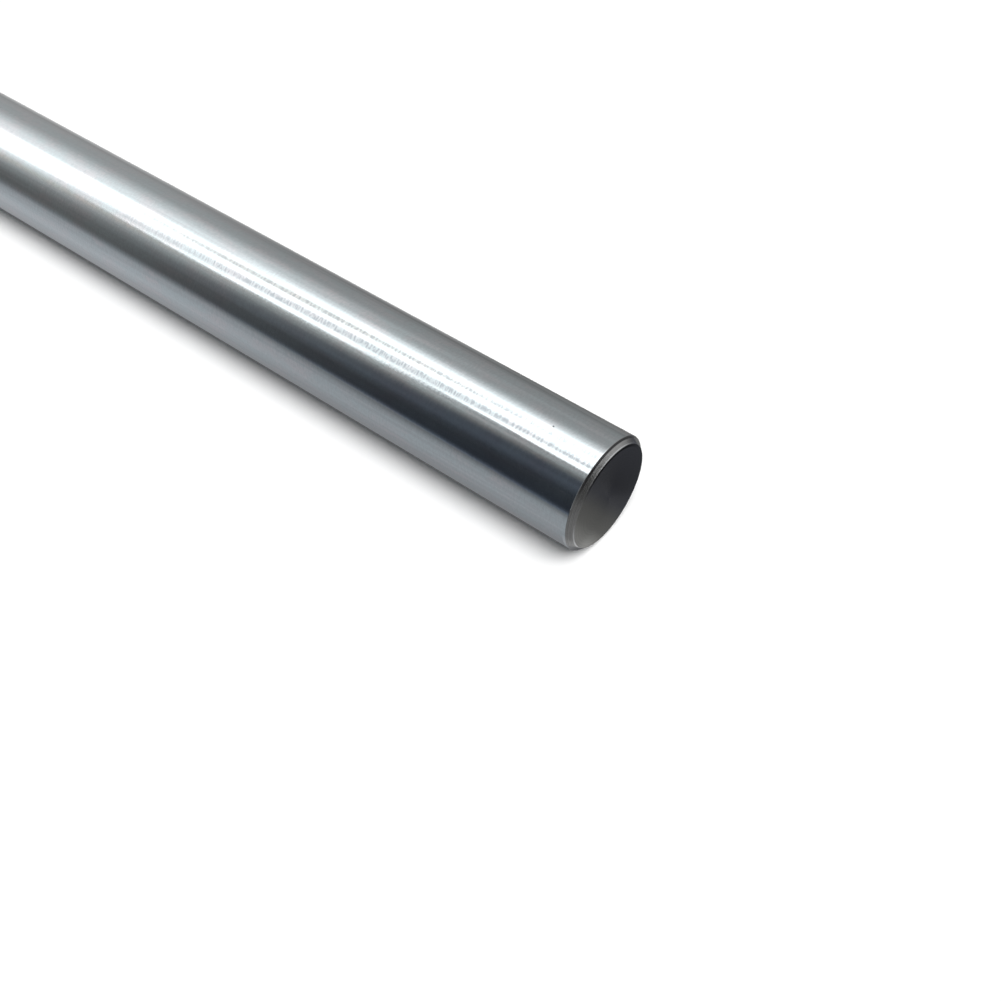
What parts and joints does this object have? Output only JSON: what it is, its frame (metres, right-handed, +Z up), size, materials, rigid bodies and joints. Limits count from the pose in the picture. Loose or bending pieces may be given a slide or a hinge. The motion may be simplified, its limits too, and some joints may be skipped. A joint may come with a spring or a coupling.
{
  "type": "titanium round bar",
  "caption": "Solid round bar of titanium, ground smooth all round, with both ends faced square and chamfered.",
  "frame": {"origin": "on the line along which the bar touches the floor, midway between its ends; the bar's axis lies 10 mm above it", "axes": "+X along the bar towards the faced end that the picture shows, +Z up, +Y completes the right-handed frame"},
  "size_m": [0.3, 0.02, 0.02],
  "materials": {
    "titanium": "gloss"
  },
  "bodies": {
    "root": {"round_bar": "titanium"}
  },
  "joints": []
}
